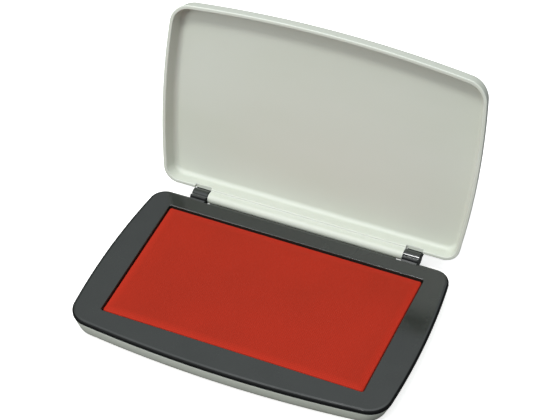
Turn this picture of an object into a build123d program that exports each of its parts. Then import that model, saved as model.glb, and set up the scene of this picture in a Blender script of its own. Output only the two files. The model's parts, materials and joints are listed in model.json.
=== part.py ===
from build123d import *
import os
from math import sqrt

# Hinged office ink pad, modelled open. Millimetres.
# Origin: centre of the pad window, on the flat underside of the case.
# +X to the right, +Y towards the hinge, +Z up.

# ---- Pad window ----
pad_length = 90.0          # inked face, along X
pad_width = 50.0           # inked face, along Y
window_gap_x = 0.3         # frame to cloth at each end
window_gap_y = 0.3         # frame to cloth along each long side
window_corner_radius = 0.8
window_edge_radius = 0.3

# ---- Plan outline, shared by case, frame and lid ----
half_width = 55.5          # at the widest line
widest_y = -6.9
side_curve_radius = 244.7
front_y = -35.0            # middle of the bowed front edge
front_corner_y = -31.6     # where front and side curves would meet
base_rear_y = 31.5         # straight rear edge of case and frame
lid_rear_y = 32.5          # straight rear edge of the lid
front_corner_radius = 7.6
rear_corner_radius = 5.6

# ---- Lower case ----
case_height = 5.9
case_wall = 1.5
case_floor = 1.4
case_side_taper = 2.7      # how far the sides lean in on their way down
case_end_taper = 0.4       # the same for front and rear
case_bottom_radius = 3.0
case_rim_radius = 0.4      # softens the outer top edge, just below the frame
rib_height = 0.6
rib_width = 1.2
rib_spacing = 24.0
rib_count = 4
panel_length = 64.0        # panel outlined by a shallow groove underneath
panel_width = 34.0
panel_corner_radius = 3.0
panel_groove = 1.0
panel_groove_depth = 0.4

# ---- Top frame ----
flange_thickness = 0.2     # rests on the rim of the case
shadow_gap = 0.3           # groove all round, between flange and plate
shadow_gap_depth = 1.1
plate_z = case_height + flange_thickness + shadow_gap
plate_thickness = 1.0
frame_top_z = plate_z + plate_thickness
plate_bevel_width = 1.1
plate_bevel_height = 0.35
plate_edge_radius = 0.75
collar_wall = 1.2
collar_bottom_z = 4.4
skirt_wall = 1.0
skirt_depth = 1.2
skirt_inset = 2.6
relief_width = 2.0         # small cut in the rear edge beside each lug
relief_depth = 1.05

# ---- Lid ----
rim_gap = 0.2              # closed lid above the frame
rim_z = frame_top_z + rim_gap
lid_depth = 6.0
lid_top_z = rim_z + lid_depth
lid_wall = 1.2
lid_edge_radius = 2.4
lid_inner_radius = 1.6
lid_side_taper = 1.2
lid_front_taper = 0.3
lid_rear_taper = 0.5
rim_edge_radius = 0.3

# ---- Hinge ----
axis_y = 34.0
axis_z = 6.5
open_angle = 107.7
lug_inner_x = 35.2
lug_outer_x = 40.6
lug_radius = 2.1
barrel_radius = 1.8
barrel_end_x = 34.9
pin_radius = 0.9
pin_running_gap = 0.05
pin_inner_x = 30.0
pin_outer_x = 38.6
pin_end_gap = 0.3
notch_side_gap = 0.3
notch_top_z = 8.6
stop_gap = 0.12
ridge_y = 31.75            # small moulded bead in front of each lug
ridge_z = 7.55
ridge_radius = 0.75
groove_y = 32.4            # groove between bead and lug
groove_z = 8.1
groove_radius = 0.4
# Profiles in Y and Z, with the lid closed.
heel_face_y = lid_rear_y + stop_gap
lug_arm = ((30.2, 5.95), (34.0, 5.95), (34.0, 7.7), (31.2, 7.7), (30.2, 7.3))
lug_heel = ((heel_face_y, 8.0), (heel_face_y, 10.0), (33.6, 10.0), (34.9, 7.6))
lid_web = ((31.9, 7.7), (32.2, 6.6), (34.0, 7.0), (34.0, 8.25), (32.4, 9.3), (31.9, 9.3))
lid_notch = ((30.0, 7.0), (33.0, 7.0), (33.0, notch_top_z), (30.0, notch_top_z))

# ---- Pad stack ----
tray_wall = 1.0
tray_floor = 0.9
tray_clearance = 0.3       # collar to tray wall
tray_height = 3.4
board_thickness = 0.8
cloth_side = 0.35
cloth_top = 0.5
cloth_top_z = 6.9
cloth_corner_radius = 0.25

hinge_axis = Axis((0, axis_y, axis_z), (1, 0, 0))


def side_x(y):
    """Half width of the outline at y, on the bowed side."""
    centre_x = half_width - side_curve_radius
    return centre_x + sqrt(side_curve_radius**2 - (y - widest_y) ** 2)


def outline(rear_y, z, side=0.0, front=0.0, rear=0.0):
    """Rounded outline at height z, moved inwards by the three insets."""
    low = front_corner_y + front
    high = rear_y - rear
    middle = (low + high) / 2
    points = [(side_x(y) - side, y) for y in (low, middle, high)]
    mirrored = [(-x, y) for x, y in points]
    front_edge = ThreePointArc(mirrored[0], (0, front_y + front), points[0])
    right_edge = ThreePointArc(*points)
    rear_edge = Line(points[2], mirrored[2])
    left_edge = ThreePointArc(mirrored[2], mirrored[1], mirrored[0])
    face = make_face([front_edge, right_edge, rear_edge, left_edge])
    face = fillet(face.vertices().group_by(Axis.Y)[-1], rear_corner_radius - rear)
    face = fillet(face.vertices().sort_by(Axis.Y)[:2], front_corner_radius - front)
    return Pos(0, 0, z) * face


def rounded_block(length, width, bottom_z, top_z, corner_radius):
    """Upright block with rounded corners, centred on the window."""
    block = extrude(RectangleRounded(length, width, corner_radius), top_z - bottom_z)
    return Pos(0, 0, bottom_z) * block


def along_x(profile, start_x, end_x):
    """Extrude a profile, given in Y and Z, from start_x to end_x."""
    plane = Plane(origin=(start_x, 0, 0), x_dir=(0, 1, 0), z_dir=(1, 0, 0))
    return extrude(plane * profile, end_x - start_x)


def disc(y, z, radius):
    """Round profile in Y and Z."""
    return Pos(y, z) * Circle(radius)


def polygon(points):
    """Straight-sided profile in Y and Z."""
    return make_face(Polyline(*points, close=True))


def make_lower_case():
    """Shallow dish with ribs under the ink tray and a grooved panel below."""
    foot = outline(base_rear_y, 0, case_side_taper, case_end_taper, case_end_taper)
    outer = loft([foot, outline(base_rear_y, case_height)])
    outer = fillet(outer.edges().group_by(Axis.Z)[0], case_bottom_radius)
    outer = fillet(outer.edges().group_by(Axis.Z)[-1], case_rim_radius)
    low_end = case_end_taper + case_wall
    low_side = case_side_taper + case_wall
    inner_foot = outline(base_rear_y, case_floor, low_side, low_end, low_end)
    inner = loft([inner_foot, outline(base_rear_y, case_height, case_wall, case_wall, case_wall)])
    case = outer - inner
    for index in range(rib_count):
        x = (index - (rib_count - 1) / 2) * rib_spacing
        case += Pos(x, 0, case_floor + rib_height / 2) * Box(rib_width, pad_width, rib_height)
    length = panel_length + 2 * panel_groove
    width = panel_width + 2 * panel_groove
    groove = rounded_block(length, width, 0, panel_groove_depth, panel_corner_radius + panel_groove)
    groove -= rounded_block(panel_length, panel_width, 0, panel_groove_depth, panel_corner_radius)
    return case - groove


def window_size():
    """Length and width of the opening in the frame."""
    return pad_length + 2 * window_gap_x, pad_width + 2 * window_gap_y


def make_lug(side):
    """Hinge lug: knuckle, bead, groove and the heel that stops the lid."""
    knuckle = disc(axis_y, axis_z, lug_radius)
    bead = disc(ridge_y, ridge_z, ridge_radius)
    lug = along_x(knuckle + polygon(lug_arm) + bead, lug_inner_x, lug_outer_x)
    lug += along_x(polygon(lug_heel), lug_inner_x, lug_outer_x).rotate(hinge_axis, -open_angle)
    lug -= along_x(disc(groove_y, groove_z, groove_radius), lug_inner_x, lug_outer_x)
    lug -= along_x(disc(axis_y, axis_z, pin_radius), lug_inner_x, pin_outer_x)
    return lug if side > 0 else mirror(lug, Plane.YZ)


def make_top_frame():
    """Dark cover plate with the pad window, a collar, a skirt and two lugs."""
    length, width = window_size()
    plate = extrude(outline(base_rear_y, plate_z), plate_thickness)
    top_face = plate.faces().sort_by(Axis.Z)[-1]
    plate = chamfer(top_face.edges(), plate_bevel_width, plate_bevel_height, reference=top_face)
    bevel_z = frame_top_z - plate_bevel_height
    bevel_edges = plate.edges().filter_by(lambda edge: abs(edge.center().Z - bevel_z) < 0.01)
    plate = fillet(bevel_edges, plate_edge_radius)
    plate += extrude(outline(base_rear_y, case_height), flange_thickness)
    inset = shadow_gap_depth
    plate += extrude(outline(base_rear_y, case_height, inset, inset, inset), plate_z - case_height)
    collar = rounded_block(
        length + 2 * collar_wall,
        width + 2 * collar_wall,
        collar_bottom_z,
        case_height,
        window_corner_radius + collar_wall,
    )
    skirt_z = case_height - skirt_depth
    skirt_inner = skirt_inset + skirt_wall
    skirt = extrude(outline(base_rear_y, skirt_z, skirt_inset, skirt_inset, skirt_inset), skirt_depth)
    skirt -= extrude(outline(base_rear_y, skirt_z, skirt_inner, skirt_inner, skirt_inner), skirt_depth)
    frame = plate + collar + skirt
    frame -= rounded_block(length, width, collar_bottom_z, frame_top_z, window_corner_radius)
    rim_edges = frame.edges().group_by(Axis.Z)[-1]
    window_edges = rim_edges.filter_by(lambda edge: abs(edge.center().Y) < width / 2 + collar_wall)
    window_edges = window_edges.filter_by(lambda edge: abs(edge.center().X) < length / 2 + collar_wall)
    frame = fillet(window_edges, window_edge_radius)
    for side in (-1, 1):
        x = side * (lug_inner_x - relief_width / 2)
        cut = Box(relief_width, 2 * relief_depth, 2 * plate_thickness)
        frame -= Pos(x, base_rear_y, frame_top_z) * cut
    return frame + make_lug(1) + make_lug(-1)


def make_lid():
    """Shallow tray with a long hinge barrel, modelled closed, then opened."""
    outer = loft([
        outline(lid_rear_y, rim_z),
        outline(lid_rear_y, lid_top_z, lid_side_taper, lid_front_taper, lid_rear_taper),
    ])
    outer = fillet(outer.edges().group_by(Axis.Z)[-1], lid_edge_radius)
    inner = loft([
        outline(lid_rear_y, rim_z, lid_wall, lid_wall, lid_wall),
        outline(
            lid_rear_y,
            lid_top_z - lid_wall,
            lid_side_taper + lid_wall,
            lid_front_taper + lid_wall,
            lid_rear_taper + lid_wall,
        ),
    ])
    inner = fillet(inner.edges().group_by(Axis.Z)[-1], lid_inner_radius)
    lid = outer - inner
    lid = fillet(lid.edges().group_by(Axis.Z)[0], rim_edge_radius)
    lid += along_x(polygon(lid_web), -barrel_end_x, barrel_end_x)
    lid += along_x(disc(axis_y, axis_z, barrel_radius), -barrel_end_x, barrel_end_x)
    notch = polygon(lid_notch)
    bore = disc(axis_y, axis_z, pin_radius + pin_running_gap)
    bore_end = pin_inner_x - pin_end_gap
    for side in (-1, 1):
        start, end = sorted((side * (lug_inner_x - notch_side_gap), side * (lug_outer_x + notch_side_gap)))
        lid -= along_x(notch, start, end)
        start, end = sorted((side * bore_end, side * barrel_end_x))
        lid -= along_x(bore, start, end)
    return lid.rotate(hinge_axis, -open_angle)


def make_pin(side):
    """Steel hinge pin, pressed into its lug and free in the lid's barrel."""
    start, end = sorted((side * pin_inner_x, side * pin_outer_x))
    return along_x(disc(axis_y, axis_z, pin_radius), start, end)


def make_ink_tray():
    """Tray that holds the wet pad and stands on the ribs of the case."""
    length, width = window_size()
    inner_length = length + 2 * (collar_wall + tray_clearance)
    inner_width = width + 2 * (collar_wall + tray_clearance)
    bottom_z = case_floor + rib_height
    top_z = bottom_z + tray_height
    corner = window_corner_radius + collar_wall + tray_clearance
    outside = rounded_block(
        inner_length + 2 * tray_wall, inner_width + 2 * tray_wall, bottom_z, top_z, corner + tray_wall
    )
    return outside - rounded_block(inner_length, inner_width, bottom_z + tray_floor, top_z, corner)


def pad_layers():
    """Board, felt and cloth, stacked on the floor of the tray."""
    length = pad_length - 2 * cloth_side
    width = pad_width - 2 * cloth_side
    board_z = case_floor + rib_height + tray_floor
    felt_z = board_z + board_thickness
    felt_top_z = cloth_top_z - cloth_top
    board = rounded_block(length, width, board_z, felt_z, cloth_corner_radius)
    felt = rounded_block(length, width, felt_z, felt_top_z, cloth_corner_radius)
    corner = cloth_corner_radius + cloth_side
    cloth = rounded_block(pad_length, pad_width, board_z, cloth_top_z, corner)
    cloth = fillet(cloth.edges().group_by(Axis.Z)[-1], cloth_side)
    return board, felt, cloth - board - felt


def make_parts():
    """Every piece of the ink pad, by name."""
    board, felt, cloth = pad_layers()
    return {
        "lower_case": make_lower_case(),
        "top_frame": make_top_frame(),
        "ink_tray": make_ink_tray(),
        "backing_board": board,
        "ink_felt": felt,
        "ink_cloth": cloth,
        "lid": make_lid(),
        "hinge_pin_left": make_pin(-1),
        "hinge_pin_right": make_pin(1),
    }


os.makedirs("parts", exist_ok=True)
for name, piece in make_parts().items():
    export_step(piece, f"parts/{name}.step")
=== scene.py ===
import json
from math import cos, pi, radians, sin, tanh

import bmesh
import bpy
from bpy.props import FloatProperty, FloatVectorProperty, PointerProperty
from mathutils import Matrix, Vector


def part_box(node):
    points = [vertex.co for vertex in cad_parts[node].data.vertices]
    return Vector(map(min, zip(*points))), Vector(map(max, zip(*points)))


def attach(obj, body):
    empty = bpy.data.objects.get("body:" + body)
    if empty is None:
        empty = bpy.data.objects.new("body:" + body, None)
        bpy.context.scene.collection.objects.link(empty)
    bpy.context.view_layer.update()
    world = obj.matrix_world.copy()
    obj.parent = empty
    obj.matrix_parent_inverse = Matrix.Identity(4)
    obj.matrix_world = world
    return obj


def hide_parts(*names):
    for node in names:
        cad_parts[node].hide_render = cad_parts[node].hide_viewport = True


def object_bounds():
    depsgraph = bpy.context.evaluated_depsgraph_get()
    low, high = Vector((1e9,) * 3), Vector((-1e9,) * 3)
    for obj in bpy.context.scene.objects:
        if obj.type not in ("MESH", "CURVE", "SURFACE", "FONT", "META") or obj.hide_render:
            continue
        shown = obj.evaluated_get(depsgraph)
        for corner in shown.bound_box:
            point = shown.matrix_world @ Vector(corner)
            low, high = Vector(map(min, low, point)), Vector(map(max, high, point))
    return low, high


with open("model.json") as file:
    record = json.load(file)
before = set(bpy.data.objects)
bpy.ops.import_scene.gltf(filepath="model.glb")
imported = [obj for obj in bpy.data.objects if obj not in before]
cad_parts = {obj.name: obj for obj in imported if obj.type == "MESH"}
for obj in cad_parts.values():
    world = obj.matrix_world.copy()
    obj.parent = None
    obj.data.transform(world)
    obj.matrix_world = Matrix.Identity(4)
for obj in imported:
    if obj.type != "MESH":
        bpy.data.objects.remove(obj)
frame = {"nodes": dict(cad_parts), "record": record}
cad_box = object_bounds()
cloth_low, cloth_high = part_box("ink_cloth")
felt_low, felt_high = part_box("ink_felt")
hinge_y = frame["record"]["behaviour"]["joints"][0]["pos_m"][1]

bl_info = {
    "name": "Hinged Ink Pad",
    "version": (1, 0, 0),
    "blender": (4, 5, 0),
    "location": "View3D > Sidebar > Ink Pad",
    "description": "Finishes a hinged office ink pad: shells, inked cloth, felt, pins and studio",
    "category": "Object",
}

MM = 0.001

# A Wave Texture's band is this wide at scale 1.
WAVE_BAND = 0.314

# Lamps: where they hang, how wide they are and what they point at, in metres.
KEY_PLACE = (-0.10, -0.17, 0.80)
KEY_WIDTH = 0.15
FILL_PLACE = (-0.38, -0.55, 0.45)
FILL_WIDTH = 0.30
LAMP_AIM = Vector((0, 0.02, 0.02))

# From the middle of the open ink pad to the point that the camera turns about.
CAMERA_AIM_SHIFT = Vector((-1.72, 6.26, -8.86)) * MM


def linear(hex_colour):
    """Turn an sRGB hex colour into linear red, green, blue."""
    channels = [int(hex_colour[i:i + 2], 16) / 255 for i in (0, 2, 4)]
    return [c / 12.92 if c <= 0.04045 else ((c + 0.055) / 1.055) ** 2.4 for c in channels]


def opaque(colour):
    """Red, green, blue with full alpha, as a colour socket takes it."""
    return (*colour, 1.0)


def colour_setting(name, description, hex_colour):
    """A colour that a user can change."""
    return FloatVectorProperty(
        name=name, description=description, subtype="COLOR", size=3, min=0, max=1,
        default=linear(hex_colour))


def length_setting(name, description, millimetres):
    """A length that a user can change, kept in metres."""
    return FloatProperty(
        name=name, description=description, subtype="DISTANCE", unit="LENGTH",
        default=millimetres * MM, min=0, precision=5)


# ---------------------------------------------------------------- settings


class ShellSettings(bpy.types.PropertyGroup):
    """Putty-grey mouldings: the lower case and the lid."""

    colour: colour_setting("Colour", "Pigment of the moulded shells", "cfd3ca")
    flow: colour_setting("Flow marks", "Slightly greener streaks left by the moulding", "c4cabb")
    rubbed: colour_setting("Rubbed edge", "Paler plastic where edges are handled", "dde1da")
    # Painted shade: the colour that the lower case darkens to towards the desk, and how far up it
    # darkens.
    low_shade_colour: colour_setting("Grime", "Dull plastic low on the case", "7d7f75")
    low_shade_height: length_setting("Grime height", "How far up the case the grime reaches", 4.8)
    flow_width: length_setting("Flow width", "Width of one flow mark", 26)
    grain: length_setting("Grain", "Width of one pit of the spark-eroded surface", 0.35)


class FrameSettings(bpy.types.PropertyGroup):
    """Charcoal moulding around the pad."""

    colour: colour_setting("Colour", "Pigment of the polished top", "1f2320")
    hazy: colour_setting("Haze colour", "Slightly greyer patches left by handling", "282c29")
    rubbed: colour_setting("Rubbed edge", "Greyer plastic where edges are rubbed", "2f3534")
    # Painted shade: near-black laid on the frame's outer walls and rounded edge, where they fall into
    # shade and mirror dark surroundings.
    sides: colour_setting("Sides", "Matt black of the walls and of the rounded edge", "0d0f0f")
    haze: length_setting("Haze", "Width of the soft patches left by handling", 9)
    scratch: length_setting("Scratch", "Spacing of the hairline scratches", 0.8)


class ClothSettings(bpy.types.PropertyGroup):
    """Inked cloth face and the felt under it."""

    ink: colour_setting("Ink", "Cloth wet with ink", "9a2209")
    # Random thinner ink, and also the painted highlight on the cloth's border, where it turns down and
    # catches the light.
    thin_ink_and_edge_highlight: colour_setting("Thin ink", "Brighter ink where the cloth turns down", "b0260e")
    deep_ink: colour_setting("Deep ink", "Ink gathered between the threads", "701306")
    felt: colour_setting("Felt", "Felt soaked with ink", "8a1f14")
    thread: length_setting("Thread spacing", "Distance between threads", 0.6)
    crown: length_setting("Crown", "The most that the face swells above its edge", 0.3)
    edge_radius: length_setting("Edge radius", "How tightly the cloth turns down", 0.4)
    spread: length_setting("Spread", "How far the damp cloth spreads towards the frame", 0.1)
    cell: length_setting("Cell", "Mesh size for the cloth simulation", 1.25)
    thickness: length_setting("Thickness", "Thickness of the cloth", 0.3)


class StudioSettings(bpy.types.PropertyGroup):
    """Camera, lights and floor."""

    azimuth: FloatProperty(
        name="Azimuth", description="Camera swing to the right of the front", subtype="ANGLE",
        default=radians(26.1))
    elevation: FloatProperty(
        name="Elevation", description="Camera height above the horizon", subtype="ANGLE",
        default=radians(45.2))
    roll: FloatProperty(
        name="Roll", description="Camera turned about its own line of sight", subtype="ANGLE",
        default=radians(-2.9))
    distance: length_setting("Distance", "Camera to target", 719.6)
    lens: FloatProperty(name="Lens", description="Focal length on a 36 mm sensor", default=145.1)
    floor: colour_setting("Floor", "Plain pale floor", "f4f4f2")
    floor_bounce: colour_setting("Floor bounce", "What the floor throws back onto the object", "7c7c7a")
    floor_glow: FloatProperty(
        name="Floor glow", description="Light added where the floor is seen", default=0.7)
    sky: FloatProperty(
        name="Sky", description="Strength of the soft light from overhead", default=1.7)
    horizon: FloatProperty(
        name="Horizon", description="Strength of the light from low down", default=0.08)
    key: FloatProperty(
        name="Key", description="Power of the softbox above the pad", unit="POWER", default=2.8)
    fill: FloatProperty(
        name="Fill", description="Power of the weak front softbox", unit="POWER", default=2.2)


# ---------------------------------------------------------------- shader helpers


def plug(tree, node, inputs):
    """Fill a node's inputs from values, from sockets or from other nodes' first outputs."""
    for key, value in inputs.items():
        if isinstance(value, bpy.types.Node):
            value = next(output for output in value.outputs if output.enabled)
        if isinstance(value, bpy.types.NodeSocket):
            tree.links.new(value, node.inputs[key])
        else:
            node.inputs[key].default_value = value


def add(tree, kind, inputs=None, **settings):
    """Add a node with its settings and its inputs."""
    node = tree.nodes.new(kind)
    for name, value in settings.items():
        setattr(node, name, value)
    plug(tree, node, inputs or {})
    return node


def new_material(name):
    """An empty material with its tree, shader and coordinates in metres."""
    material = bpy.data.materials.new(name)
    material.use_nodes = True
    tree = material.node_tree
    shader = tree.nodes["Principled BSDF"]
    place = add(tree, "ShaderNodeTexCoord").outputs["Object"]
    return material, tree, shader, place


def worn_edges(tree, radius):
    """Near 1 on edges sharper than radius, and 0 on flat faces."""
    rounded = add(tree, "ShaderNodeBevel", {"Radius": radius}, samples=4)
    true_normal = add(tree, "ShaderNodeNewGeometry").outputs["Normal"]
    match = add(tree, "ShaderNodeVectorMath", {0: rounded, 1: true_normal}, operation="DOT_PRODUCT")
    match_on_edge, match_on_face = 0.90, 0.995
    return add(tree, "ShaderNodeMapRange", {
        "Value": match.outputs["Value"], "From Min": match_on_edge, "From Max": match_on_face,
        "To Min": 1.0, "To Max": 0.0})


def beyond_pad(tree, place, margin, width):
    """0 up to margin outside the pad's edge, rising to 1 over the next width."""
    parts = add(tree, "ShaderNodeSeparateXYZ", {0: place}).outputs
    beyond = []
    for axis in (0, 1):
        distance = add(tree, "ShaderNodeMath", {0: parts[axis]}, operation="ABSOLUTE")
        start = cloth_high[axis] + margin
        beyond.append(add(tree, "ShaderNodeMapRange", {
            "Value": distance, "From Min": start, "From Max": start + width}))
    return add(tree, "ShaderNodeMath", {0: beyond[0], 1: beyond[1]}, operation="MAXIMUM")


def painted_shade_sides(tree, place):
    """1 on the outer walls of the frame and on the outer part of its rounded edge, where shade is
    painted, and 0 elsewhere.

    The window's own edge and the hinge lugs, which stand behind the plate, are left out.
    """
    level_enough, steep_enough = 0.95, 0.89
    window_edge, window_fade = 1.5 * MM, 0.5 * MM
    lug_front, lug_fade = hinge_y - 2.2 * MM, 0.2 * MM
    facing = add(tree, "ShaderNodeTexCoord").outputs["Normal"]
    upward = add(tree, "ShaderNodeSeparateXYZ", {0: facing}).outputs["Z"]
    level = add(tree, "ShaderNodeMath", {0: upward}, operation="ABSOLUTE")
    steep = add(tree, "ShaderNodeMapRange", {
        "Value": level, "From Min": level_enough, "From Max": steep_enough})
    outer = add(tree, "ShaderNodeMath", {
        0: steep, 1: beyond_pad(tree, place, window_edge, window_fade)}, operation="MULTIPLY")
    along_y = add(tree, "ShaderNodeSeparateXYZ", {0: place}).outputs["Y"]
    before_lugs = add(tree, "ShaderNodeMapRange", {
        "Value": along_y, "From Min": lug_front, "From Max": lug_front - lug_fade})
    return add(tree, "ShaderNodeMath", {0: outer, 1: before_lugs}, operation="MULTIPLY")


def finish_node(name, material):
    """Give a CAD node its finished material."""
    node = frame["nodes"][name]
    node.data.materials.clear()
    node.data.materials.append(material)


# ---------------------------------------------------------------- materials


def painted_low_shade(tree, place, height):
    """Painted shade: 1 at the desk, fading to 0 at the given height, broken up by soft patches."""
    level = add(tree, "ShaderNodeSeparateXYZ", {0: place}).outputs["Z"]
    fading = add(tree, "ShaderNodeMapRange", {
        "Value": level, "From Max": height, "To Min": 1.0, "To Max": 0.0})
    patches = add(tree, "ShaderNodeTexNoise", {"Vector": place, "Scale": 1 / (6 * MM), "Detail": 3.0})
    broken = add(tree, "ShaderNodeMapRange", {"Value": patches, "To Min": 0.75, "To Max": 1.0})
    return add(tree, "ShaderNodeMath", {0: fading, 1: broken}, operation="MULTIPLY")


def moulded_putty_abs(settings, name="putty_abs_spark_eroded", low_shade_height=0.0):
    """ABS from a spark-eroded mould: a fine even grain, a low sheen and faint flow marks.

    Given a height, shade is painted on: the colour darkens towards the desk up to that height.
    """
    material, tree, shader, place = new_material(name)
    along_flow = add(tree, "ShaderNodeMapping", {"Vector": place, "Scale": (0.35, 1.0, 1.0)})
    flow = add(tree, "ShaderNodeTexNoise", {
        "Vector": along_flow, "Scale": 1 / settings.flow_width, "Detail": 2.0})
    base = add(tree, "ShaderNodeMix", {
        "Factor": flow, 6: opaque(settings.colour), 7: opaque(settings.flow)}, data_type="RGBA")
    colour = add(tree, "ShaderNodeMix", {
        "Factor": worn_edges(tree, 0.5 * MM), 6: base, 7: opaque(settings.rubbed)}, data_type="RGBA")
    # Painted shade: the case darkens towards the desk, where its rounded bottom turns away from the
    # light.
    if low_shade_height:
        colour = add(tree, "ShaderNodeMix", {
            "Factor": painted_low_shade(tree, place, low_shade_height), 6: colour, 7: opaque(settings.low_shade_colour)},
            data_type="RGBA")
    grain = add(tree, "ShaderNodeTexNoise", {
        "Vector": place, "Scale": 1 / settings.grain, "Detail": 3.0})
    roughness = add(tree, "ShaderNodeMapRange", {"Value": grain, "To Min": 0.38, "To Max": 0.52})
    pits = add(tree, "ShaderNodeBump", {"Height": grain, "Distance": 0.03 * MM, "Strength": 0.35})
    plug(tree, shader, {
        "Base Color": colour, "Roughness": roughness, "Normal": pits, "IOR": 1.53,
        "Subsurface Weight": 0.06, "Subsurface Radius": (1.0, 0.9, 0.7), "Subsurface Scale": 0.6 * MM})
    return material


def moulded_charcoal_abs(settings):
    """ABS from a polished mould: glossy on top with haze and hairlines, matt on its sides, where shade
    is painted on as near-black.
    """
    material, tree, shader, place = new_material("charcoal_abs_polished")
    sides = painted_shade_sides(tree, place)
    patches = add(tree, "ShaderNodeTexNoise", {
        "Vector": place, "Scale": 1 / settings.haze, "Detail": 4.0})
    face = add(tree, "ShaderNodeMix", {
        "Factor": patches, 6: opaque(settings.colour), 7: opaque(settings.hazy)}, data_type="RGBA")
    rubbed = add(tree, "ShaderNodeMix", {
        "Factor": worn_edges(tree, 0.3 * MM), 6: face, 7: opaque(settings.rubbed)}, data_type="RGBA")
    # Painted shade: the outer walls and rounded edge are coloured near-black.
    colour = add(tree, "ShaderNodeMix", {
        "Factor": sides, 6: rubbed, 7: opaque(settings.sides)}, data_type="RGBA")
    across = add(tree, "ShaderNodeMapping", {
        "Vector": place, "Rotation": (0, 0, radians(24)), "Scale": (0.04, 1.0, 1.0)})
    scratch = add(tree, "ShaderNodeTexNoise", {
        "Vector": across, "Scale": 1 / settings.scratch, "Detail": 2.0})
    hairline = add(tree, "ShaderNodeMapRange", {"Value": scratch, "From Min": 0.66, "From Max": 0.74})
    dull = add(tree, "ShaderNodeMapRange", {
        "Value": patches, "From Min": 0.3, "From Max": 0.7, "To Min": 0.10, "To Max": 0.17})
    scuffed = add(tree, "ShaderNodeMath", {0: hairline, 1: 0.06, 2: dull}, operation="MULTIPLY_ADD")
    roughness = add(tree, "ShaderNodeMix", {"Factor": sides, 2: scuffed, 3: 0.5})
    peel = add(tree, "ShaderNodeTexNoise", {"Vector": place, "Scale": 1 / (2.2 * MM), "Detail": 2.0})
    ripple = add(tree, "ShaderNodeBump", {"Height": peel, "Distance": 0.02 * MM, "Strength": 0.2})
    gloss = add(tree, "ShaderNodeMix", {"Factor": sides, 2: 0.5, 3: 0.12})
    plug(tree, shader, {
        "Base Color": colour, "Roughness": roughness, "Normal": ripple, "IOR": 1.55,
        "Specular IOR Level": gloss})
    return material


def moulded_polypropylene():
    """Natural polypropylene: milky white, waxy and slightly see-through, with soft swirls."""
    material, tree, shader, place = new_material("polypropylene_natural_moulded")
    swirl = add(tree, "ShaderNodeTexNoise", {
        "Vector": place, "Scale": 1 / (11 * MM), "Detail": 3.0, "Distortion": 1.2})
    colour = add(tree, "ShaderNodeMix", {
        "Factor": swirl, 6: opaque(linear("dcdcd5")), 7: opaque(linear("d2d2c9"))}, data_type="RGBA")
    wax = add(tree, "ShaderNodeTexNoise", {"Vector": place, "Scale": 1 / (0.5 * MM), "Detail": 2.0})
    roughness = add(tree, "ShaderNodeMapRange", {"Value": wax, "To Min": 0.34, "To Max": 0.46})
    ripple = add(tree, "ShaderNodeBump", {"Height": wax, "Distance": 0.02 * MM, "Strength": 0.3})
    plug(tree, shader, {
        "Base Color": colour, "Roughness": roughness, "Normal": ripple, "IOR": 1.49,
        "Subsurface Weight": 0.15, "Subsurface Scale": 1.0 * MM})
    return material


def plain_weave(tree, place, spacing):
    """Height of a plain weave: threads cross over and under in turn."""
    bands = {
        axis: add(tree, "ShaderNodeTexWave", {"Vector": place, "Scale": WAVE_BAND / spacing},
                  wave_type="BANDS", bands_direction=axis, wave_profile="SIN").outputs["Fac"]
        for axis in ("X", "Y")
    }
    over = add(tree, "ShaderNodeTexChecker", {"Vector": place, "Scale": 1 / spacing}).outputs["Fac"]
    return add(tree, "ShaderNodeMix", {"Factor": over, 2: bands["X"], 3: bands["Y"]})


def inked_cotton(settings):
    """Plain-woven cotton soaked with oil ink: matt red threads with a faint damp sheen.

    The threads are drawn coarser than such cloth usually has them, so that they show.
    """
    material, tree, shader, place = new_material("inked_cotton_plain_weave")
    weave = plain_weave(tree, place, settings.thread)
    clouds = add(tree, "ShaderNodeTexNoise", {"Vector": place, "Scale": 1 / (22 * MM), "Detail": 3.0})
    soak = add(tree, "ShaderNodeMapRange", {
        "Value": clouds, "From Min": 0.35, "From Max": 0.7, "To Max": 0.3})
    face = add(tree, "ShaderNodeMix", {
        "Factor": soak, 6: opaque(settings.ink), 7: opaque(settings.thin_ink_and_edge_highlight)}, data_type="RGBA")
    # Painted highlight: the cloth's border is coloured brighter, as where it turns down and catches the
    # light.
    border = beyond_pad(tree, place, -3.2 * MM, 3.0 * MM)
    with_edge_highlight = add(tree, "ShaderNodeMix", {
        "Factor": border, 6: face, 7: opaque(settings.thin_ink_and_edge_highlight)}, data_type="RGBA")
    gathered = add(tree, "ShaderNodeMapRange", {
        "Value": weave, "From Max": 0.5, "To Min": 0.45, "To Max": 0.0})
    colour = add(tree, "ShaderNodeMix", {
        "Factor": gathered, 6: with_edge_highlight, 7: opaque(settings.deep_ink)}, data_type="RGBA")
    lint = add(tree, "ShaderNodeTexNoise", {"Vector": place, "Scale": 1 / (0.25 * MM), "Detail": 2.0})
    roughness = add(tree, "ShaderNodeMapRange", {"Value": lint, "To Min": 0.55, "To Max": 0.8})
    threads = add(tree, "ShaderNodeBump", {"Height": weave, "Distance": 0.06 * MM, "Strength": 0.5})
    fuzz = add(tree, "ShaderNodeBump", {
        "Height": lint, "Distance": 0.02 * MM, "Strength": 0.3, "Normal": threads})
    plug(tree, shader, {
        "Base Color": colour, "Roughness": roughness, "Normal": fuzz, "IOR": 1.47,
        "Specular IOR Level": 0.15, "Sheen Weight": 0.03, "Sheen Roughness": 0.6})
    return material


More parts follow.
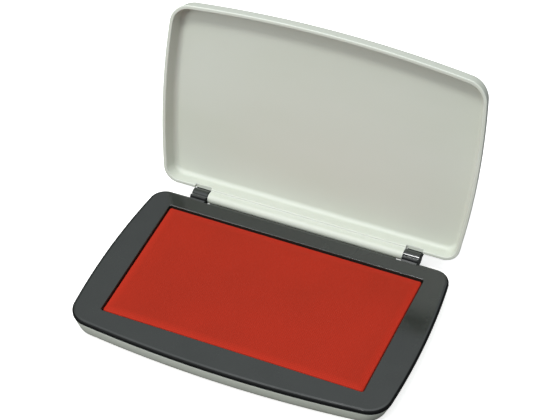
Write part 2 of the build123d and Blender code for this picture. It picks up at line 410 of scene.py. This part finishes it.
def soaked_felt(settings):
    """Needled wool felt full of ink: dark red, fibrous and dull."""
    material, tree, shader, place = new_material("soaked_needled_felt")
    fibre = add(tree, "ShaderNodeTexNoise", {"Vector": place, "Scale": 1 / (0.5 * MM), "Detail": 5.0})
    pool = add(tree, "ShaderNodeTexNoise", {"Vector": place, "Scale": 1 / (14 * MM), "Detail": 2.0})
    base = add(tree, "ShaderNodeMix", {
        "Factor": pool, 6: opaque(settings.felt), 7: opaque(settings.deep_ink)}, data_type="RGBA")
    strands = add(tree, "ShaderNodeMapRange", {"Value": fibre, "To Max": 0.5})
    colour = add(tree, "ShaderNodeMix", {
        "Factor": strands, 6: base, 7: opaque(settings.ink)}, data_type="RGBA")
    roughness = add(tree, "ShaderNodeMapRange", {"Value": fibre, "To Min": 0.6, "To Max": 0.95})
    nap = add(tree, "ShaderNodeBump", {"Height": fibre, "Distance": 0.15 * MM, "Strength": 0.6})
    plug(tree, shader, {
        "Base Color": colour, "Roughness": roughness, "Normal": nap, "Sheen Weight": 0.2})
    return material


def drawn_steel():
    """Drawn steel wire: bright, with fine lines along its length."""
    material, tree, shader, place = new_material("steel_drawn_wire")
    along = add(tree, "ShaderNodeMapping", {"Vector": place, "Scale": (0.03, 1.0, 1.0)})
    lines = add(tree, "ShaderNodeTexNoise", {"Vector": along, "Scale": 1 / (0.12 * MM), "Detail": 3.0})
    colour = add(tree, "ShaderNodeMix", {
        "Factor": lines, 6: opaque(linear("a9aaa8")), 7: opaque(linear("c6c6c3"))}, data_type="RGBA")
    roughness = add(tree, "ShaderNodeMapRange", {"Value": lines, "To Min": 0.28, "To Max": 0.5})
    draw_marks = add(tree, "ShaderNodeBump", {"Height": lines, "Distance": 0.01 * MM, "Strength": 0.4})
    plug(tree, shader, {
        "Base Color": colour, "Roughness": roughness, "Normal": draw_marks, "Metallic": 1.0})
    return material


def pressed_greyboard():
    """Greyboard pressed from waste paper: speckled grey-brown with short fibres."""
    material, tree, shader, place = new_material("greyboard_pressed")
    fibre = add(tree, "ShaderNodeTexNoise", {"Vector": place, "Scale": 1 / (0.6 * MM), "Detail": 5.0})
    flecks = add(tree, "ShaderNodeTexNoise", {"Vector": place, "Scale": 1 / (0.9 * MM), "Detail": 1.0})
    speck = add(tree, "ShaderNodeMapRange", {"Value": flecks, "From Min": 0.66, "From Max": 0.72})
    base = add(tree, "ShaderNodeMix", {
        "Factor": fibre, 6: opaque(linear("b09d80")), 7: opaque(linear("c2b092"))}, data_type="RGBA")
    colour = add(tree, "ShaderNodeMix", {
        "Factor": speck, 6: base, 7: opaque(linear("7a6b55"))}, data_type="RGBA")
    roughness = add(tree, "ShaderNodeMapRange", {"Value": fibre, "To Min": 0.75, "To Max": 0.95})
    fibres = add(tree, "ShaderNodeBump", {"Height": fibre, "Distance": 0.05 * MM, "Strength": 0.5})
    plug(tree, shader, {"Base Color": colour, "Roughness": roughness, "Normal": fibres})
    return material


# ---------------------------------------------------------------- pieces


def new_piece(name, shape, material):
    """Turn a bmesh into a smooth piece that is part of the base."""
    mesh = bpy.data.meshes.new(name)
    shape.to_mesh(mesh)
    shape.free()
    mesh.polygons.foreach_set("use_smooth", [True] * len(mesh.polygons))
    mesh.materials.append(material)
    piece = bpy.data.objects.new(name, mesh)
    bpy.context.scene.collection.objects.link(piece)
    return piece


def pad_cap(low, high, radius, counts, bottom, closed):
    """Flat face with edges rolled down to bottom, as an open cap or a closed slab.

    The face is a grid, and each loop around it continues the grid's own border.
    """
    shape = bmesh.new()
    size = [high[axis] - low[axis] - 2 * radius for axis in (0, 1)]
    centre = [(high[axis] + low[axis]) / 2 for axis in (0, 1)]
    grid = [[
        shape.verts.new((
            centre[0] + size[0] * (i / counts[0] - 0.5),
            centre[1] + size[1] * (j / counts[1] - 0.5), high[2]))
        for j in range(counts[1] + 1)] for i in range(counts[0] + 1)]
    for i in range(counts[0]):
        for j in range(counts[1]):
            shape.faces.new((grid[i][j], grid[i + 1][j], grid[i + 1][j + 1], grid[i][j + 1]))
    border = (
        [(i, 0) for i in range(counts[0])] + [(counts[0], j) for j in range(counts[1])]
        + [(i, counts[1]) for i in range(counts[0], 0, -1)] + [(0, j) for j in range(counts[1], 0, -1)])
    bend_loops = wall_loops = 4
    corner_reach = 0.8
    bend = [pi / 2 * k / bend_loops for k in range(1, bend_loops + 1)]
    drops = [(radius * sin(angle), radius * (1 - cos(angle))) for angle in bend]
    wall = high[2] - radius - bottom
    drops += [(radius, radius + wall * k / wall_loops) for k in range(1, wall_loops + 1)]
    loop = [grid[i][j] for i, j in border]
    outwards = [
        Vector(((i == counts[0]) - (i == 0), (j == counts[1]) - (j == 0), 0.0)) for i, j in border]
    start = [(vert.co.copy(), outward) for vert, outward in zip(loop, outwards)]
    for out, down in drops:
        spread = [
            point + outward * out * (corner_reach if outward.x and outward.y else 1.0)
            for point, outward in start]
        below = [shape.verts.new(point - Vector((0, 0, down))) for point in spread]
        for k in range(len(loop)):
            after = (k + 1) % len(loop)
            shape.faces.new((loop[k], below[k], below[after], loop[after]))
        loop = below
    if closed:
        shape.faces.new(reversed(loop))
    bmesh.ops.recalc_face_normals(shape, faces=shape.faces)
    return shape


def swelling(piece, settings):
    """How far each point of a pad moves when ink and felt push the cloth up, by simulation.

    The cloth is simulated at ten times its size, where the solver is steady, with its hem pinned.
    """
    enlarge = 10.0
    settle_frames = 20
    scene = bpy.context.scene
    trial = bpy.data.objects.new("cloth_trial", piece.data.copy())
    trial.data.transform(Matrix.Scale(enlarge, 4))
    scene.collection.objects.link(trial)
    hem = trial.vertex_groups.new(name="hem")
    hem_z = (cloth_high[2] - 2 * settings.edge_radius) * enlarge
    hem.add([v.index for v in trial.data.vertices if v.co.z < hem_z], 1.0, "REPLACE")
    cloth = trial.modifiers.new("cloth", "CLOTH")
    cloth.settings.quality = 6
    cloth.settings.mass = 0.3
    cloth.settings.tension_stiffness = 40
    cloth.settings.compression_stiffness = 40
    cloth.settings.bending_stiffness = 2
    cloth.settings.use_pressure = True
    cloth.settings.uniform_pressure_force = 4
    cloth.settings.vertex_group_mass = hem.name
    cloth.settings.effector_weights.gravity = 0
    for step in range(settle_frames):
        scene.frame_set(step + 1)
    settled = trial.evaluated_get(bpy.context.evaluated_depsgraph_get())
    before = [v.co.copy() for v in trial.data.vertices]
    moves = [(after.co - rest) / enlarge for after, rest in zip(settled.data.vertices, before)]
    mesh = trial.data
    bpy.data.objects.remove(trial)
    bpy.data.meshes.remove(mesh)
    scene.frame_set(1)
    return [eased(move, settings.crown) for move in moves]


def eased(move, most):
    """Shorten a move smoothly, so that it never passes most."""
    return move * (most * tanh(move.length / most) / move.length) if move.length > 0 else move


def make_pad(settings):
    """The cloth cap and the felt slab, swollen together point by point."""
    felt_share = 0.8
    counts = [round((cloth_high[axis] - cloth_low[axis]) / settings.cell) for axis in (0, 1)]
    spread = Vector((settings.spread, settings.spread, 0))
    low, high = Vector(cloth_low) - spread, Vector(cloth_high) + spread
    cap = pad_cap(low, high, settings.edge_radius, counts, cloth_low[2], False)
    cloth = new_piece("ink_cloth_cap", cap, inked_cotton(settings))
    moves = swelling(cloth, settings)
    slab = pad_cap(felt_low, felt_high, settings.edge_radius, counts, felt_low[2], True)
    felt = new_piece("ink_felt_slab", slab, soaked_felt(settings))
    for cloth_vert, felt_vert, move in zip(cloth.data.vertices, felt.data.vertices, moves):
        cloth_vert.co += move
        felt_vert.co.z += max(felt_share * move.z, 0.0)
    for piece in (cloth, felt):
        smooth = piece.modifiers.new("rounder", "SUBSURF")
        smooth.levels = smooth.render_levels = 1
    thick = cloth.modifiers.new("thickness", "SOLIDIFY")
    thick.thickness = settings.thickness
    thick.offset = -1
    return cloth, felt


class INKPAD_OT_shells(bpy.types.Operator):
    """Finish the lower case and the lid"""

    bl_idname = "inkpad.shells"
    bl_label = "Putty Shells"

    def execute(self, context):
        settings = context.scene.inkpad_shell
        finish_node("lid", moulded_putty_abs(settings))
        # The lower case gets painted shade that darkens it towards the desk.
        finish_node("lower_case", moulded_putty_abs(
            settings, "putty_abs_painted_low_shade", settings.low_shade_height))
        return {"FINISHED"}


class INKPAD_OT_cover_frame(bpy.types.Operator):
    """Finish the charcoal cover frame and the ink tray"""

    bl_idname = "inkpad.cover_frame"
    bl_label = "Cover Frame and Tray"

    def execute(self, context):
        finish_node("top_frame", moulded_charcoal_abs(context.scene.inkpad_frame))
        finish_node("ink_tray", moulded_polypropylene())
        return {"FINISHED"}


class INKPAD_OT_pad(bpy.types.Operator):
    """Make the inked cloth and the felt under it, and finish the board that carries them"""

    bl_idname = "inkpad.pad"
    bl_label = "Inked Pad"

    def execute(self, context):
        settings = context.scene.inkpad_cloth
        cloth, felt = make_pad(settings)
        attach(cloth, "base")
        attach(felt, "base")
        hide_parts("ink_cloth")
        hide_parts("ink_felt")
        finish_node("backing_board", pressed_greyboard())
        return {"FINISHED"}


class INKPAD_OT_pins(bpy.types.Operator):
    """Finish the two hinge pins"""

    bl_idname = "inkpad.pins"
    bl_label = "Hinge Pins"

    def execute(self, context):
        material = drawn_steel()
        for name in ("hinge_pin_left", "hinge_pin_right"):
            finish_node(name, material)
        return {"FINISHED"}


def studio_floor(settings):
    """Plain pale floor, bright where the camera sees it, that throws little light back."""
    half_width = 3.0
    below_desk = 0.02 * MM
    shape = bmesh.new()
    bmesh.ops.create_grid(shape, x_segments=1, y_segments=1, size=half_width)
    mesh = bpy.data.meshes.new("studio_floor")
    shape.to_mesh(mesh)
    shape.free()
    floor = bpy.data.objects.new("studio_floor", mesh)
    floor.location.z = -below_desk
    bpy.context.scene.collection.objects.link(floor)
    material, tree, shader, place = new_material("pale_floor")
    mottle = add(tree, "ShaderNodeTexNoise", {"Vector": place, "Scale": 1 / (40 * MM), "Detail": 2.0})
    roughness = add(tree, "ShaderNodeMapRange", {"Value": mottle, "To Min": 0.75, "To Max": 0.85})
    seen = add(tree, "ShaderNodeLightPath").outputs["Is Camera Ray"]
    colour = add(tree, "ShaderNodeMix", {
        "Factor": seen, 6: opaque(settings.floor_bounce), 7: opaque(settings.floor)}, data_type="RGBA")
    glow = add(tree, "ShaderNodeMath", {0: seen, 1: settings.floor_glow}, operation="MULTIPLY")
    plug(tree, shader, {
        "Base Color": colour, "Roughness": roughness,
        "Emission Color": opaque(settings.floor), "Emission Strength": glow})
    mesh.materials.append(material)


def studio_world(settings):
    """Light tent: bright overhead and dim low down, and even where the camera sees it."""
    overhead_focus = 2.5
    backdrop = 0.95
    world = bpy.data.worlds.new("studio_world")
    world.use_nodes = True
    tree = world.node_tree
    background = tree.nodes["Background"]
    place = add(tree, "ShaderNodeTexCoord").outputs["Generated"]
    height = add(tree, "ShaderNodeSeparateXYZ", {0: place}).outputs["Z"]
    gathered = add(tree, "ShaderNodeMath", {
        0: height, 1: overhead_focus}, operation="POWER", use_clamp=True)
    tent = add(tree, "ShaderNodeMapRange", {
        "Value": gathered, "To Min": settings.horizon, "To Max": settings.sky})
    seen = add(tree, "ShaderNodeLightPath").outputs["Is Camera Ray"]
    strength = add(tree, "ShaderNodeMix", {"Factor": seen, 2: tent, 3: backdrop})
    plug(tree, background, {"Color": opaque(linear("f7faff")), "Strength": strength})
    return world


def softbox(name, place, width, power, colour):
    """Soft square lamp that faces the pad."""
    lamp = bpy.data.lights.new(name, "AREA")
    lamp.shape = "SQUARE"
    lamp.size = width
    lamp.energy = power
    lamp.color = colour
    light = bpy.data.objects.new(name, lamp)
    light.location = place
    light.rotation_mode = "QUATERNION"
    light.rotation_quaternion = (LAMP_AIM - light.location).to_track_quat("-Z", "Y")
    bpy.context.scene.collection.objects.link(light)


class INKPAD_OT_studio(bpy.types.Operator):
    """Set up the floor, the soft lights and the camera"""

    bl_idname = "inkpad.studio"
    bl_label = "Studio"

    def execute(self, context):
        settings = context.scene.inkpad_studio
        studio_floor(settings)
        context.scene.world = studio_world(settings)
        context.scene.view_settings.view_transform = "Standard"
        softbox("key_softbox", KEY_PLACE, KEY_WIDTH, settings.key, (1.0, 1.0, 0.99))
        softbox("fill_softbox", FILL_PLACE, FILL_WIDTH, settings.fill, (1.0, 1.0, 1.0))

        target = (Vector(cad_box[0]) + Vector(cad_box[1])) / 2 + CAMERA_AIM_SHIFT
        camera = bpy.data.objects.new("camera", bpy.data.cameras.new("camera"))
        camera.matrix_world = (
            Matrix.Translation(target)
            @ Matrix.Rotation(settings.azimuth, 4, "Z")
            @ Matrix.Rotation(pi / 2 - settings.elevation, 4, "X")
            @ Matrix.Rotation(settings.roll, 4, "Z")
            @ Matrix.Translation((0, 0, settings.distance)))
        camera.data.sensor_width = 36.0
        camera.data.lens = settings.lens
        context.scene.collection.objects.link(camera)
        context.scene.camera = camera
        return {"FINISHED"}


class INKPAD_PT_sidebar(bpy.types.Panel):
    """Ink pad tools"""

    bl_label = "Ink Pad"
    bl_idname = "INKPAD_PT_sidebar"
    bl_space_type = "VIEW_3D"
    bl_region_type = "UI"
    bl_category = "Ink Pad"

    def draw(self, context):
        for operator in OPERATORS:
            self.layout.operator(operator.bl_idname)


SETTINGS = {
    "inkpad_shell": ShellSettings,
    "inkpad_frame": FrameSettings,
    "inkpad_cloth": ClothSettings,
    "inkpad_studio": StudioSettings,
}
OPERATORS = (
    INKPAD_OT_shells, INKPAD_OT_cover_frame, INKPAD_OT_pad, INKPAD_OT_pins, INKPAD_OT_studio,
)


def register():
    """Register the settings, operators and panel."""
    for name, group in SETTINGS.items():
        bpy.utils.register_class(group)
        setattr(bpy.types.Scene, name, PointerProperty(type=group))
    for cls in (*OPERATORS, INKPAD_PT_sidebar):
        bpy.utils.register_class(cls)


def unregister():
    """Remove everything that register added."""
    for cls in (INKPAD_PT_sidebar, *reversed(OPERATORS)):
        bpy.utils.unregister_class(cls)
    for name, group in SETTINGS.items():
        delattr(bpy.types.Scene, name)
        bpy.utils.unregister_class(group)


def main():
    """Build every piece and the stage."""
    register()
    for operator in OPERATORS:
        group, name = operator.bl_idname.split(".")
        getattr(getattr(bpy.ops, group), name)()


if __name__ == "__main__":
    main()
